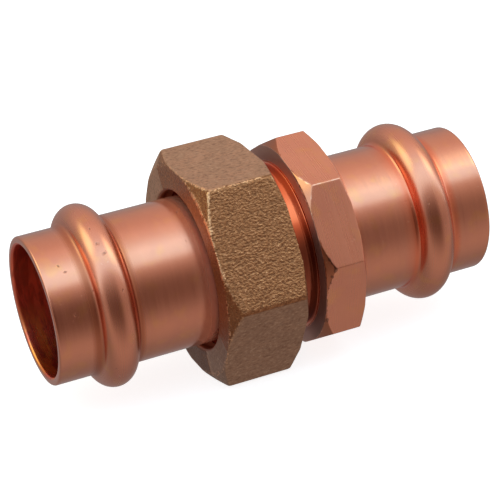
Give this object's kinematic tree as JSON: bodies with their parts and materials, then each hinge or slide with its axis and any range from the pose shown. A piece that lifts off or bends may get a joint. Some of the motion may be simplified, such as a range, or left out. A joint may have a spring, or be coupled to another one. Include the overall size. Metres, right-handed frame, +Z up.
{
  "type": "pipe union",
  "caption": "Straight press-end union for copper tube: a tail piece held by a hexagonal union nut against the conical seat of a threaded body, so the joint can be opened with a wrench",
  "frame": {"origin": "centre of the bounding box, on the pipe axis, midway between the two mouths", "axes": "X runs along the pipe, with the tail piece at -X and the threaded body at +X; Z is up, normal to one pair of the nut's flats; Y is across"},
  "size_m": [0.0772, 0.0408, 0.0364],
  "materials": {
    "copper": "satin copper, drawn and turned",
    "cast_bronze": "bronze, as cast, with one flat and the edges worn brighter",
    "seal_rubber": "black sealing rubber"
  },
  "bodies": {
    "threaded_end": {"threaded_body": "copper", "body_press_seal": "seal_rubber"},
    "tail_carrier": {"tail_press_seal": "seal_rubber"},
    "tail": {"tail_piece": "copper"},
    "nut": {"union_nut": "cast_bronze"}
  },
  "joints": [
    {"name": "draw_apart", "type": "slide", "parent": "threaded_end", "child": "tail_carrier", "axis": [-1, 0, 0], "range_m": [0, 0.00741]},
    {"name": "tail_swivel", "type": "hinge", "parent": "tail_carrier", "child": "tail", "pos_m": [-0.02832, 0, 0], "axis": [1, 0, 0], "continuous": true},
    {"name": "nut_turn", "type": "hinge", "parent": "tail_carrier", "child": "nut", "pos_m": [-0.0051, 0, 0], "axis": [-1, 0, 0], "range_deg": [0, 1260]}
  ],
  "couplings": [
    {"joint": "draw_apart", "follows": "nut_turn", "m_per_rad": 0.00033688}
  ]
}
